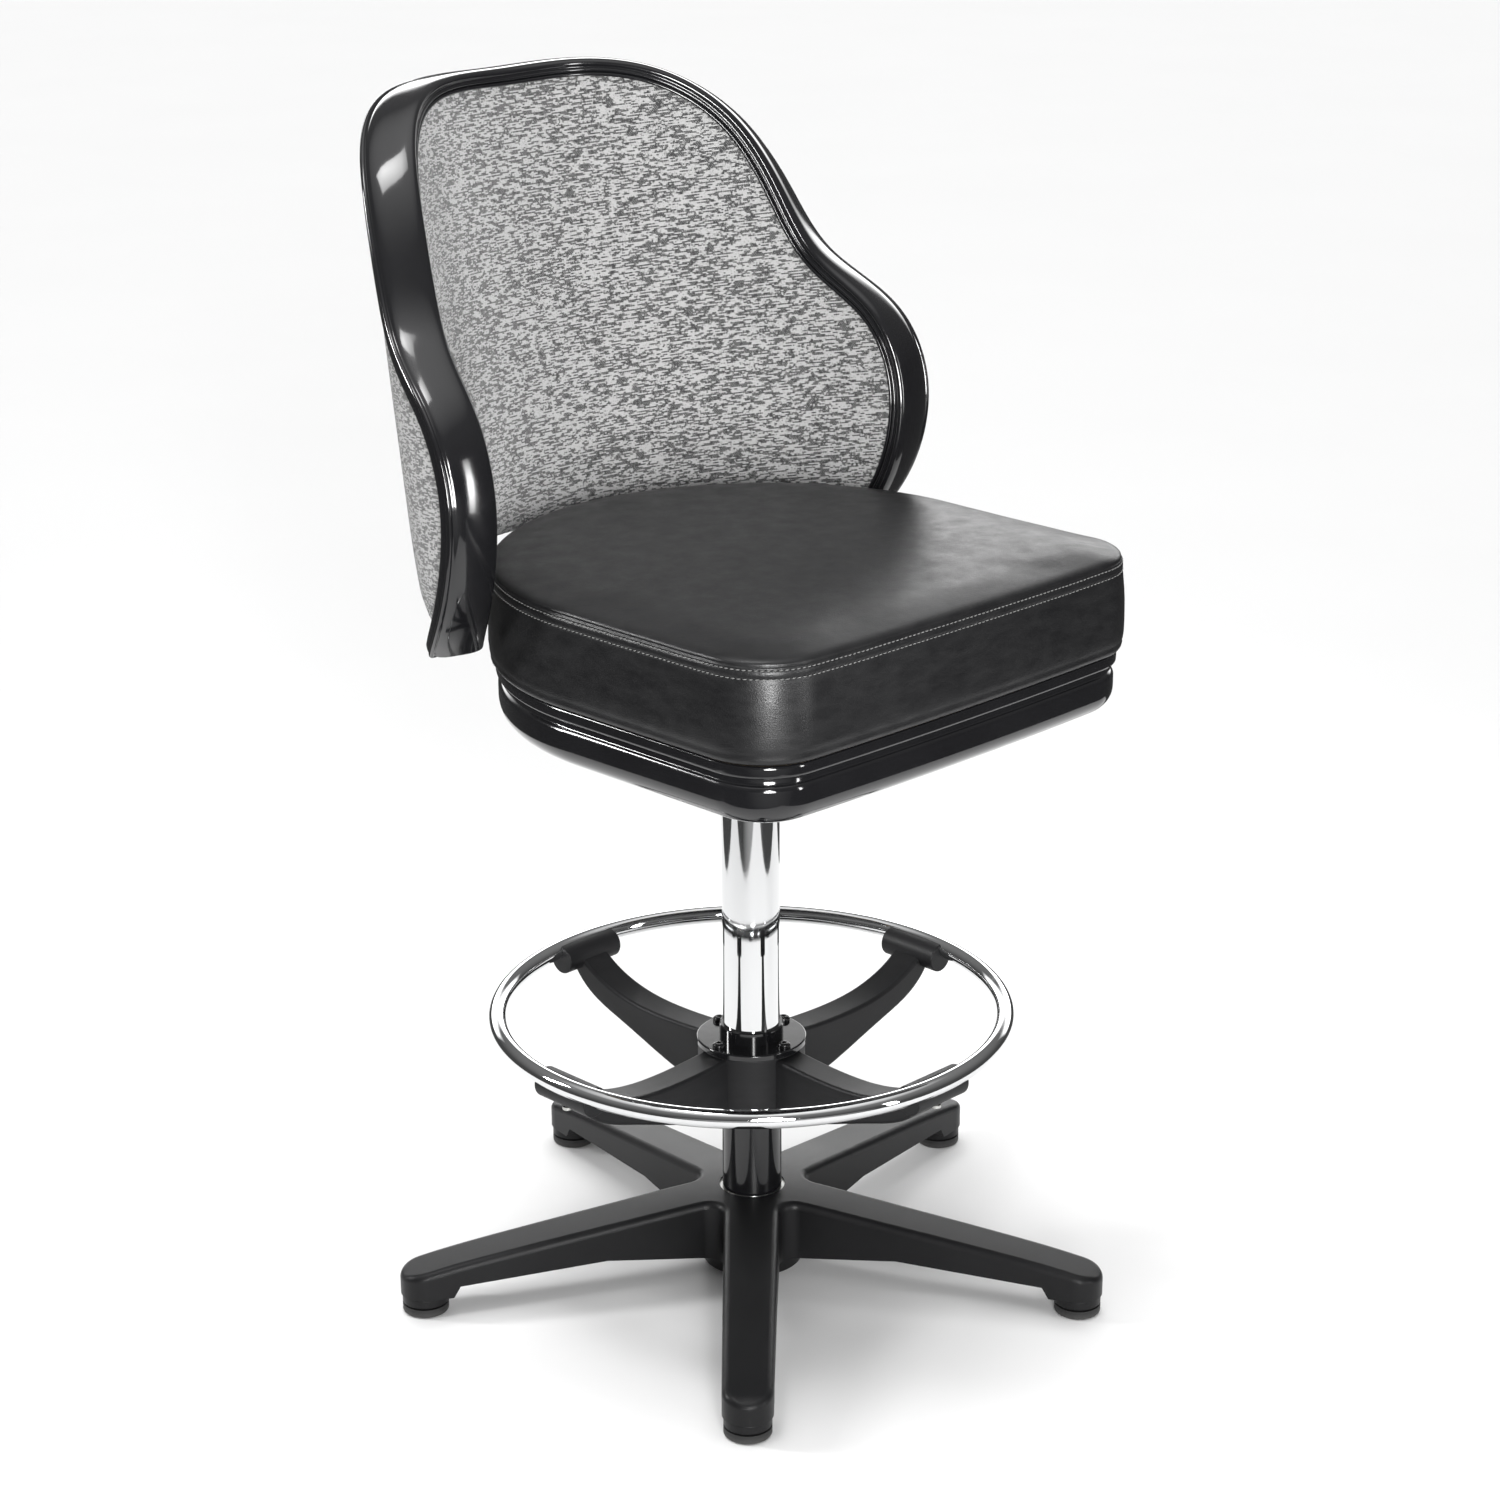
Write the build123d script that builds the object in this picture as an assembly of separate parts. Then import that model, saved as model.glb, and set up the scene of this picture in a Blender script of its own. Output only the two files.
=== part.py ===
from build123d import *
import os
from math import atan2, cos, degrees, radians, sin, sqrt

# Swivel drafting chair. Millimetres, +Z up, the sitter faces -Y, and the origin is on
# the floor under the swivel axis. The stand stays still; the seat and the back turn.

# ---- floor glides and star base
LEGS = 5
LEG_START = 8.14            # degrees, first leg, counter-clockwise from +X
GLIDE_CIRCLE = 298.0        # radius of the circle through the glides
GLIDE_R = 20.0
SOLE_H = 8.0
CUP_BOTTOM, CUP_TOP = 9.5, 17.0
LEG_TIP_R = 321.0
LEG_HALF_ROOT, LEG_HALF_TIP = 25.0, 21.3
HUB_R, HUB_BOTTOM, HUB_TOP = 44.0, 6.0, 75.0
LEG_WALL = 5.0

# ---- column
COLUMN_R, COLUMN_WALL = 25.0, 2.0
COLUMN_FOOT, COLUMN_TOP = 18.0, 556.0
SOCKET_R = 29.0
SLEEVE_R = 26.2

# ---- foot ring
RING_R, RING_TUBE_R, RING_Z = 221.0, 8.0, 244.0
SPIDER_BOTTOM, SPIDER_TOP = 153.5, 215.5
SPIDER_R = 47.0
ARM_W = 30.0
CRADLE_R, CRADLE_L = 13.0, 62.0
CRADLE_CIRCLE, CRADLE_Z = 213.0, 236.5
FLANGE_R, FLANGE_H, COLLAR_R, COLLAR_TOP = 48.2, 5.0, 28.0, 232.5
COLLAR_SCREW_CIRCLE = 40.0

# ---- swivel
SPINDLE_R = 15.0
RUN = 0.05                  # radial running clearance
BUSH_H, LOWER_BUSH_Z = 35.0, 430.0
BEARING_R, RACE_H, BALL_R, BALLS = 24.0, 2.5, 3.0, 12

# ---- seat
SEAT_HALF, SEAT_FRONT, SEAT_BOW = 231.0, -250.0, 6.0
SEAT_CORNER, SEAT_REAR_Y = 60.0, -18.0
SEAT_TOP, SEAT_UNDER = 670.0, 579.3
BOARD_Z, BOARD_T = 579.0, 15.0
PLATE_T = 4.0
PAN_BOTTOM, PAN_GROOVE, PAN_RIM, PAN_TOP = 526.0, 564.0, 567.0, 578.0
PAN_WALL = 3.0

# ---- back: a bent shell about an axis that leans back
RECLINE = 8.5
BACK_PIVOT_Z = 734.5
PAD_IN, PAD_OUT = 242.4, 258.0
CORE_IN, CORE_OUT = 258.2, 268.0
REAR_IN, REAR_OUT = 274.4, 281.2
TRIM_IN, TRIM_OUT, TRIM_LIP, TRIM_WEB = 238.6, 284.8, 14.0, 3.0
TRIM_SLOT_IN, TRIM_SLOT_OUT = 241.7, 281.9
REF_R = 262.0               # radius on which the outline's arc lengths are measured
# half of the back's outline, flattened: arc length from the middle, height
OUTLINE = [(0, 1068), (96, 1066), (165, 1047), (225, 1000), (261, 934),
           (288, 879), (343, 824), (364.5, 765), (354, 704), (311, 641), (279, 616)]
BACK_HEM = [(200, 676), (238, 668), (271, 655), (300, 640), (420, 560)]
HEM_MIDDLE_Z = 677.0
SUPPORT_ANGLE = 20.0
SUPPORT_W, SUPPORT_T, SUPPORT_TOP = 40.0, 5.0, 840.0
SUPPORT_FOOT_IN = 112.0

GAP = 0.3
LEAN = Pos(0, 0, BACK_PIVOT_Z) * Rot(-RECLINE, 0, 0) * Pos(0, 0, -BACK_PIVOT_Z)


def leg_angles():
    return [LEG_START + 360 / LEGS * k for k in range(LEGS)]


def rod(radius, low, high, x=0.0, y=0.0):
    """A cylinder that stands on z = low."""
    return Pos(x, y, low) * Cylinder(
        radius, high - low, align=(Align.CENTER, Align.CENTER, Align.MIN))


def tube(outer, inner, low, high):
    return rod(outer, low, high) - rod(inner, low - 1, high + 1)


def save(name, shape):
    """Writes one node; a list is a group of separate solids."""
    if isinstance(shape, list):
        shape = Compound([s.solid() for s in shape])
    export_step(shape, f"parts/{name}.step")


# ------------------------------------------------------------------ star base
def star_sketch(inset=0.0):
    """Plan of the base: five tapered legs with round ends about a round hub."""
    root, tip = LEG_HALF_ROOT - inset, LEG_HALF_TIP - inset
    leg = make_face(Polyline((0, -root), (GLIDE_CIRCLE, -tip), (GLIDE_CIRCLE, tip), (0, root),
                             (0, -root)))
    leg += Pos(GLIDE_CIRCLE, 0) * Circle(tip)
    plan = Circle(38 - inset)
    for angle in leg_angles():
        plan += Rot(0, 0, angle) * leg
    inner = [v for v in plan.vertices() if Vector(v.X, v.Y).length < 75]
    return fillet(inner, 14 + inset)


def leg_profile():
    """Half section of the base through a leg: the top slopes down, the underside steps."""
    top = Spline((30, 76), (100, 69), (228, 53.5), (300, 42.5), tangents=((1, -0.05), (1, -0.2)))
    nose = Spline((300, 42.5), (315, 38), (LEG_TIP_R + 0.6, 27), tangents=((1, -0.2), (0, -1)))
    edge = Polyline((LEG_TIP_R + 0.6, 27), (LEG_TIP_R + 0.6, 17.5), (278, 17.5), (272, 27.5),
                    (142, 32), (48, 20), (0, 20), (0, 76), (30, 76))
    return Plane.XZ * make_face(top + nose + edge)


def star_base():
    body = extrude(star_sketch(), amount=90) & revolve(leg_profile(), Axis.Z)
    crown = [e for e in body.edges() if e.center().Z > 37 and e.length > 30
             and Vector(e.center().X, e.center().Y).length > 40]
    body = fillet(crown, 6.0)
    body += rod(HUB_R, HUB_BOTTOM, HUB_TOP)
    pockets = extrude(star_sketch(LEG_WALL), amount=90)
    roof = Plane.XZ * make_face(Polyline((0, 0), (0, 66), (100, 59), (228, 44), (268, 38),
                                         (268, 0), (0, 0)))
    pockets = pockets & revolve(roof, Axis.Z)
    pockets -= rod(HUB_R, 0, 90)
    for angle in leg_angles():
        for r in (105, 160, 215):
            pockets -= Rot(0, 0, angle) * Pos(r, 0, 40) * Box(4, 60, 90)
    body -= pockets
    body -= rod(SOCKET_R + 0.05, COLUMN_FOOT, 90)
    body -= rod(31, 0, COLUMN_FOOT + 0.01)
    for angle in leg_angles():
        body -= Rot(0, 0, angle) * rod(5.6, 0, 34, GLIDE_CIRCLE)
    return body.solid()


def glide_sole():
    sole = rod(GLIDE_R, 0, SOLE_H)
    sole = fillet(sole.edges().group_by(Axis.Z)[0], 2.5)
    return sole - rod(9.0, SOLE_H - 3, SOLE_H + 1)


def glide_cup():
    cup = rod(GLIDE_R, CUP_BOTTOM, CUP_TOP)
    cup = fillet(cup.edges(), 0.8)
    cup += rod(GLIDE_R - 3, SOLE_H, CUP_BOTTOM + 1)
    cup += rod(8.8, SOLE_H - 2.9, CUP_BOTTOM)
    return cup - rod(5.5, CUP_BOTTOM + 2, CUP_TOP + 1)


def glide_stem():
    return chamfer(rod(5.45, CUP_BOTTOM + 2.1, 33).edges().group_by(Axis.Z)[-1], 1)


# --------------------------------------------------------------------- column
def base_socket():
    return tube(SOCKET_R, COLUMN_R + 0.03, COLUMN_FOOT + 0.5, HUB_TOP - 0.5)


def column_tube():
    return tube(COLUMN_R, COLUMN_R - COLUMN_WALL, COLUMN_FOOT + 0.5, COLUMN_TOP)


def column_plug():
    return tube(COLUMN_R - COLUMN_WALL - 0.02, 5.1, COLUMN_FOOT + 0.5, COLUMN_FOOT + 14)


def base_washer():
    return tube(30, 5.5, COLUMN_FOOT - 4, COLUMN_FOOT)


def base_bolt():
    head = extrude(RegularPolygon(9.2, 6), amount=6.2)
    head = chamfer(head.edges().group_by(Axis.Z)[0], 0.8)
    return Pos(0, 0, COLUMN_FOOT - 10.3) * head + rod(5.0, COLUMN_FOOT - 4.2, COLUMN_FOOT + 18)


def post_sleeve():
    return tube(SLEEVE_R, COLUMN_R + 0.1, HUB_TOP + 0.1, SPIDER_BOTTOM - 0.1)


# ------------------------------------------------------------------ foot ring
def foot_ring():
    """Plain round ring; the real tube's closed inside isn't modelled."""
    return Pos(0, 0, RING_Z) * Torus(RING_R, RING_TUBE_R)


def spider_arm():
    """One bowed arm, drawn in the XZ plane and as wide as its top face."""
    top = Spline((40, SPIDER_TOP - 1), (105, 211), (160, 217), (207, 242),
                 tangents=((1, -0.1), (1, 1.1)))
    low = Spline((214, 226), (198, 209), (152, 189), (78, 164.5), (40, SPIDER_BOTTOM + 1),
                 tangents=((-1, -1.6), (-1, -0.35)))
    side = make_face(top + Line((207, 242), (214, 226)) + low
                     + Line((40, SPIDER_BOTTOM + 1), (40, SPIDER_TOP - 1)))
    arm = extrude(Plane.XZ * side, amount=ARM_W / 2, both=True)
    return fillet([e for e in arm.edges() if e.length > 60], 3.0)


def ring_spider():
    body = rod(SPIDER_R, SPIDER_BOTTOM, SPIDER_TOP)
    body = fillet(body.edges().group_by(Axis.Z)[-1], 2.0)
    arm = spider_arm()
    cradle = Pos(CRADLE_CIRCLE, 0, CRADLE_Z) * Rot(90, 0, 0) * Cylinder(CRADLE_R, CRADLE_L)
    cradle = fillet(cradle.edges().filter_by(GeomType.CIRCLE), 1.2)
    for k in range(4):
        body += Rot(0, 0, 90 * k) * arm
        body += Rot(0, 0, 90 * k) * cradle
    body -= rod(COLUMN_R + 0.05, SPIDER_BOTTOM - 1, SPIDER_TOP + 1)
    body -= Pos(0, 0, RING_Z) * Torus(RING_R, RING_TUBE_R + 0.05)
    for k in range(4):
        body -= Rot(0, 0, 90 * k) * rod(3.05, SPIDER_TOP - 22, SPIDER_TOP + 1, COLLAR_SCREW_CIRCLE)
        body -= Rot(0, 0, 90 * k) * rod(2.05, 200, RING_Z, RING_R - 4)
        body -= Rot(0, 0, 90 * k) * rod(4.1, 200, CRADLE_Z - CRADLE_R + 1.05, RING_R - 4)
    return body.solid()


def ring_collar():
    """Round flange with an upstanding collar that closes on the column."""
    low = SPIDER_TOP + 0.05
    body = rod(FLANGE_R, low, low + FLANGE_H)
    body = fillet(body.edges().group_by(Axis.Z)[-1], 1.2)
    body += rod(COLLAR_R, low, COLLAR_TOP)
    body = chamfer(body.edges().group_by(Axis.Z)[-1], 1.0)
    body -= rod(COLUMN_R + 0.05, low - 1, COLLAR_TOP + 1)
    for k in range(4):
        body -= Rot(0, 0, 90 * k) * rod(3.3, low - 1, low + 9, COLLAR_SCREW_CIRCLE)
    return body.solid()


def button_screw(shank_r, shank_l, head_r, head_h, drive_r):
    """Button-head screw with a hexagon recess, head up, seat of the head on z = 0."""
    head = fillet(rod(head_r, 0, head_h).edges().group_by(Axis.Z)[-1], head_h * 0.6)
    head -= Pos(0, 0, head_h * 0.4) * extrude(RegularPolygon(drive_r, 6), amount=head_h)
    return head + rod(shank_r, -shank_l, 0.1)


def collar_screws():
    seat = SPIDER_TOP + 0.1 + FLANGE_H
    screw = button_screw(3.0, 20, 5.6, 4.2, 2.4)
    return [Rot(0, 0, 90 * k) * Pos(COLLAR_SCREW_CIRCLE, 0, seat) * screw for k in range(4)]


def ring_screws():
    """Four small screws that rise through the cradles and end against the ring."""
    head = fillet(rod(4.0, CRADLE_Z - CRADLE_R - 2, CRADLE_Z - CRADLE_R + 1,
                      RING_R - 4).edges().group_by(Axis.Z)[0], 1.0)
    screw = head + rod(2.0, CRADLE_Z - CRADLE_R, RING_Z - RING_TUBE_R + 0.15, RING_R - 4)
    return [Rot(0, 0, 90 * k) * screw for k in range(4)]


# --------------------------------------------------------------------- swivel
def upper_bush():
    body = rod(COLUMN_R - COLUMN_WALL - 0.02, COLUMN_TOP - BUSH_H, COLUMN_TOP + 0.1)
    body += rod(COLUMN_R, COLUMN_TOP + 0.05, COLUMN_TOP + 3)
    return body - rod(SPINDLE_R + RUN, COLUMN_TOP - BUSH_H - 1, COLUMN_TOP + 4)


def lower_bush():
    return tube(COLUMN_R - COLUMN_WALL - 0.02, SPINDLE_R + RUN, LOWER_BUSH_Z, LOWER_BUSH_Z + 25)


def bearing_race(low):
    race = tube(BEARING_R, SPINDLE_R + 1, low, low + RACE_H)
    return race


def lower_race():
    low = COLUMN_TOP + 3.05
    groove = Pos(0, 0, low + RACE_H + BALL_R - 0.8) * Torus(BEARING_R - 4.5, BALL_R + 0.05)
    return bearing_race(low) - groove


def upper_race():
    low = COLUMN_TOP + 3.05 + RACE_H + 2 * BALL_R - 1.6
    groove = Pos(0, 0, low + 0.8 - BALL_R) * Torus(BEARING_R - 4.5, BALL_R + 0.05)
    return bearing_race(low) - groove


def bearing_balls():
    mid = COLUMN_TOP + 3.05 + RACE_H + BALL_R - 0.8
    ball = Sphere(BALL_R - 0.05)
    return [Rot(0, 0, 360 / BALLS * k) * Pos(BEARING_R - 4.5, 0, mid) * ball for k in range(BALLS)]


def bearing_cage():
    mid = COLUMN_TOP + 3.05 + RACE_H + BALL_R - 0.8
    cage = tube(BEARING_R - 0.4, SPINDLE_R + 1.4, mid - 1.2, mid + 1.2)
    for k in range(BALLS):
        cage -= Rot(0, 0, 360 / BALLS * k) * Pos(BEARING_R - 4.5, 0, mid) * Sphere(BALL_R + 0.1)
    return cage.solid()


def swivel_spindle():
    """Turned shaft with a welded disc; a groove near its foot takes the clip."""
    disc = BOARD_Z - PLATE_T
    shaft = rod(SPINDLE_R, LOWER_BUSH_Z - 12, disc) + rod(34, disc - 6.5, disc - 0.05)
    shaft -= tube(SPINDLE_R + 1, SPINDLE_R - 1.5, LOWER_BUSH_Z - 6, LOWER_BUSH_Z - 4)
    return chamfer(shaft.edges().group_by(Axis.Z)[0], 1.5)


def spindle_washer():
    return tube(COLUMN_R - COLUMN_WALL - 0.8, SPINDLE_R + 0.3, LOWER_BUSH_Z - 3.9, LOWER_BUSH_Z - 0.4)


def spindle_clip():
    ring = tube(SPINDLE_R + 4, SPINDLE_R - 1.45, LOWER_BUSH_Z - 5.95, LOWER_BUSH_Z - 4.05)
    return ring - Pos(SPINDLE_R + 1, 0, LOWER_BUSH_Z - 5) * Box(12, 8, 4)


# ----------------------------------------------------------------------- seat
def seat_plan(inset=0.0):
    """Bowed front, round front corners, parallel sides and a half-round rear."""
    half, front = SEAT_HALF - inset, SEAT_FRONT + inset
    with BuildSketch() as plan:
        with BuildLine():
            ThreePointArc((-half, front + SEAT_BOW), (0, front), (half, front + SEAT_BOW))
            Line((half, front + SEAT_BOW), (half, SEAT_REAR_Y))
            ThreePointArc((half, SEAT_REAR_Y), (0, SEAT_REAR_Y + half), (-half, SEAT_REAR_Y))
            Line((-half, SEAT_REAR_Y), (-half, front + SEAT_BOW))
        make_face()
        corners = [v for v in plan.vertices() if v.Y < front + SEAT_BOW + 1]
        fillet(corners, SEAT_CORNER - inset)
    return plan.sketch


def slab(inset, low, high):
    return Pos(0, 0, low) * extrude(seat_plan(inset), amount=high - low)


def seat_holes():
    """Where the bolts go up into the board: four in the plate, two in each foot."""
    plate = [(x, y) for x in (-75, 75) for y in (-75, 75)]
    feet = [support_point(r, side) for side in (-1, 1) for r in (135, 180)]
    return plate, feet


def seat_board():
    board = slab(9, BOARD_Z, BOARD_Z + BOARD_T)
    plate, feet = seat_holes()
    for x, y in plate + feet:
        board -= rod(5.1, BOARD_Z - 1, BOARD_Z + BOARD_T + 1, x, y)
    for x, y in pan_screw_points():
        board -= rod(2.35, BOARD_Z - 1, BOARD_Z + 8, x, y)
    return board.solid()


def seat_cushion():
    """Foam in its stitched cover, with a pocket for the board."""
    body = slab(0.5, SEAT_UNDER, SEAT_TOP)
    body = fillet(body.edges().group_by(Axis.Z)[-1], 9)
    return body - slab(8.6, SEAT_UNDER - 1, BOARD_Z + BOARD_T + GAP)


def seat_pan():
    """Moulded shroud: round lower edge, a groove and a bead round the rim."""
    body = slab(8, PAN_BOTTOM, PAN_GROOVE)
    body = fillet(body.edges().group_by(Axis.Z)[0], 20)
    body = fillet(body.edges().group_by(Axis.Z)[-1], 1.5)
    body += slab(11, PAN_GROOVE - 3, PAN_RIM + 1)
    rim = slab(6, PAN_RIM, PAN_TOP)
    body += fillet(rim.edges().group_by(Axis.Z)[0] + rim.edges().group_by(Axis.Z)[-1], 2.5)
    hollow = slab(11 + PAN_WALL, PAN_BOTTOM + PAN_WALL, PAN_TOP + 1)
    body -= fillet(hollow.edges().group_by(Axis.Z)[0], 17)
    body -= rod(30, PAN_BOTTOM - 1, PAN_BOTTOM + 6)
    for side in (-1, 1):
        notch = Box(SUPPORT_W + 12, 70, 20, align=(Align.CENTER, Align.MIN, Align.MIN))
        body -= Rot(0, 0, -side * foot_angle()) * Pos(0, 180, BOARD_Z - SUPPORT_T - 1) * notch
    for x, y in pan_screw_points():
        body += rod(7, PAN_BOTTOM + 0.5, BOARD_Z - 0.1, x, y)
        body -= rod(2.4, PAN_BOTTOM - 1, BOARD_Z + 1, x, y)
        body -= rod(5.2, PAN_BOTTOM - 1, PAN_BOTTOM + 3.2, x, y)
    return body.solid()


def pan_screw_points():
    return [(x, y) for x in (-140, 140) for y in (-150, 90)]


def pan_screws():
    screw = Rot(180, 0, 0) * button_screw(2.3, 56, 4.8, 2.8, 2.0)
    return [Pos(x, y, PAN_BOTTOM + 3.1) * screw for x, y in pan_screw_points()]


def seat_plate():
    """Pressed steel plate between the spindle and the board."""
    plate = Pos(0, 0, BOARD_Z - PLATE_T / 2) * Box(184, 184, PLATE_T - 0.1)
    plate = fillet(plate.edges().filter_by(Axis.Z), 18)
    for x, y in seat_holes()[0]:
        plate -= rod(4.2, BOARD_Z - 6, BOARD_Z + 1, x, y)
    return plate.solid()


def hex_bolt(shank_l):
    head = extrude(RegularPolygon(7.2, 6), amount=5.0)
    head = chamfer(head.edges().group_by(Axis.Z)[0], 0.6)
    return Pos(0, 0, -5.05) * head + rod(4.0, -0.1, shank_l)


def plate_bolts():
    return [Pos(x, y, BOARD_Z - PLATE_T) * hex_bolt(16) for x, y in seat_holes()[0]]


def support_bolts():
    return [Pos(x, y, BOARD_Z - SUPPORT_T - 0.05) * hex_bolt(17) for x, y in seat_holes()[1]]


def board_nuts():
    plate, feet = seat_holes()
    top = BOARD_Z + BOARD_T
    nut = tube(5.0, 4.05, BOARD_Z + 3, top) + tube(9.0, 4.05, top, top + 0.25)
    return [Pos(x, y, 0) * nut for x, y in plate + feet]


# ----------------------------------------------------------------------- back
def around(s, z, radius):
    """A point of the flattened outline, bent round the shell's axis."""
    turn = s / REF_R
    return Vector(radius * sin(turn), radius * cos(turn), z)


def outline_curve():
    left = [(-s, z) for s, z in reversed(OUTLINE[1:])]
    return Spline(*left, *OUTLINE)


def curtain(points):
    """A surface that stands square to the shell along a line of flattened points."""
    near = Spline(*[around(p.X, p.Y, REF_R - 50) for p in points])
    far = Spline(*[around(p.X, p.Y, REF_R + 50) for p in points])
    return Face.make_surface_from_curves(near.edge(), far.edge())


def inset_points(inset, count=90):
    """The outline moved inwards, carried on straight down past the shell at its two ends."""
    curve = outline_curve()
    line = []
    for k in range(count + 1):
        along = curve % (k / count)
        line.append(curve @ (k / count) + Vector(along.Y, -along.X) * inset)
    first, last = line[0], line[-1]
    return [first + Vector(16, -70), first + Vector(8, -30)] + line + [
        last + Vector(-8, -30), last + Vector(-16, -70)]


def hem_points():
    return ([Vector(-s, z) for s, z in reversed(BACK_HEM)]
            + [Vector(0, HEM_MIDDLE_Z)] + [Vector(s, z) for s, z in BACK_HEM])


def shell_layer(inner, outer, inset):
    """One bent layer of the back between two radii, cut to the outline and the hem."""
    layer = tube(outer, inner, 575, 1100).solid()
    pieces = layer.split(curtain(inset_points(inset)), keep=Keep.ALL)
    layer = max(pieces, key=lambda p: p.center().Y)
    pieces = layer.split(curtain(hem_points()), keep=Keep.ALL)
    return max(pieces, key=lambda p: p.center().Z)


def back_core():
    core = shell_layer(CORE_IN, CORE_OUT, 5.0)
    for place in back_bolt_places():
        core -= place * rod(5.05, CORE_IN - 9, CORE_OUT + 9)
    return LEAN * core.solid()


def back_pad():
    return LEAN * shell_layer(PAD_IN, PAD_OUT, 3.6)


def rear_panel():
    return LEAN * shell_layer(REAR_IN, REAR_OUT, 3.6)


def trim_section(curve, t, radii, depths):
    """The corners of a flat section that stands square to the outline at t."""
    point, along = curve @ t, curve % t
    turn = point.X / REF_R
    out = Vector(sin(turn), cos(turn), 0)
    inward = Vector(cos(turn), -sin(turn), 0) * along.Y + Vector(0, 0, -along.X)
    base = Vector(0, 0, point.Y)
    corners = [base + out * r + inward * d for r, d in zip(radii, depths)]
    return Wire.make_polygon(corners, close=True)


def back_trim():
    """Channel with a softly crowned face, bent along the edge from tip to tip."""
    curve = outline_curve()
    middle = (TRIM_IN + TRIM_OUT) / 2
    radii = [TRIM_IN, TRIM_IN, TRIM_IN + 6, middle, TRIM_OUT - 6, TRIM_OUT, TRIM_OUT,
             TRIM_SLOT_OUT, TRIM_SLOT_OUT, TRIM_SLOT_IN, TRIM_SLOT_IN]
    depths = [TRIM_LIP, 3, -1.5, -2.5, -1.5, 3, TRIM_LIP, TRIM_LIP, TRIM_WEB, TRIM_WEB, TRIM_LIP]
    stations = 48
    sections = [trim_section(curve, k / stations, radii, depths) for k in range(stations + 1)]
    return LEAN * Solid.make_loft(sections)


def trim_end(side):
    """Plug that closes the channel at a lower tip."""
    curve = outline_curve()
    radii = [TRIM_SLOT_IN + GAP, TRIM_SLOT_IN + GAP, TRIM_SLOT_OUT - GAP, TRIM_SLOT_OUT - GAP]
    depths = [TRIM_LIP - 1, TRIM_WEB + GAP, TRIM_WEB + GAP, TRIM_LIP - 1]
    stops = (0.0005, 0.0025, 0.005) if side < 0 else (0.9995, 0.9975, 0.995)
    return LEAN * Solid.make_loft([trim_section(curve, t, radii, depths) for t in stops])


def foot_angle():
    """Direction of the supports' feet, which meet the leaning shell at board level."""
    x, y = support_base()
    return degrees(atan2(x, y))


def support_base():
    """Where a support's upright crosses the underside of the board."""
    radius = CORE_OUT + 0.2 + SUPPORT_T / 2
    x, y = radius * sin(radians(SUPPORT_ANGLE)), radius * cos(radians(SUPPORT_ANGLE))
    lean = radians(RECLINE)
    fall = (BOARD_Z - BACK_PIVOT_Z + y * sin(lean)) / cos(lean)
    return x, y * cos(lean) + fall * sin(lean)


def support_point(distance, side):
    x, y = support_base()
    reach = sqrt(x * x + y * y)
    return side * x * distance / reach, y * distance / reach


def back_support(side):
    """Steel angle: a foot under the board, and an upright that leans with the shell."""
    x, y = support_base()
    reach = sqrt(x * x + y * y)
    foot = Box(SUPPORT_W + 8, reach - SUPPORT_FOOT_IN, SUPPORT_T - 0.1,
               align=(Align.CENTER, Align.MIN, Align.MAX))
    foot = fillet([e for e in foot.edges().filter_by(Axis.Z) if e.center().Y < 1], 10)
    foot = Rot(0, 0, -side * foot_angle()) * Pos(0, SUPPORT_FOOT_IN, BOARD_Z - 0.05) * foot
    upright = Box(SUPPORT_W, SUPPORT_T, SUPPORT_TOP - 500,
                  align=(Align.CENTER, Align.MIN, Align.MIN))
    upright = fillet([e for e in upright.edges().filter_by(Axis.Y) if e.center().Z > 100], 10)
    upright = Rot(0, 0, -side * SUPPORT_ANGLE) * Pos(0, CORE_OUT + 0.2, 500) * upright
    upright = (LEAN * upright).split(Plane.XY.offset(BOARD_Z - SUPPORT_T + 0.05), keep=Keep.TOP)
    body = foot + upright
    for distance in (135, 180):
        px, py = support_point(distance, side)
        body -= rod(4.2, BOARD_Z - 10, BOARD_Z + 3, px, py)
    for place in back_bolt_places():
        body -= LEAN * place * rod(3.3, CORE_OUT - 9, CORE_OUT + 9)
        body -= LEAN * place * Pos(0, 0, CORE_OUT + SUPPORT_T - 1.8) * Cone(3.3, 7.3, 4.0)
    return body.solid()


def back_bolt_places():
    """Frames whose +Z points out of the shell, two on each support."""
    return [Pos(0, 0, z) * Rot(0, 0, -side * SUPPORT_ANGLE) * Rot(-90, 0, 0)
            for side in (-1, 1) for z in (735, 805)]


def back_bolts():
    """Countersunk screws, flush with the back of the supports."""
    top = CORE_OUT + 0.2 + SUPPORT_T
    shape = Pos(0, 0, top - 2.1) * Cone(3.2, 7.0, 4.0) + rod(3.0, top - 14, top - 3)
    return [LEAN * place * shape for place in back_bolt_places()]


def core_inserts():
    shape = tube(5.0, 3.05, CORE_IN + 0.8, CORE_OUT - 0.2)
    return [LEAN * place * shape for place in back_bolt_places()]


def panel_clips():
    """Push-in clips that hold the rear panel off the core."""
    clip = rod(6.0, CORE_OUT + 0.1, REAR_IN - 0.1)
    spots = [(-50, 720), (50, 720), (-50, 860), (50, 860), (0, 960), (0, 790)]
    return [LEAN * Pos(0, 0, z) * Rot(0, 0, turn) * Rot(-90, 0, 0) * clip for turn, z in spots]


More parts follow.
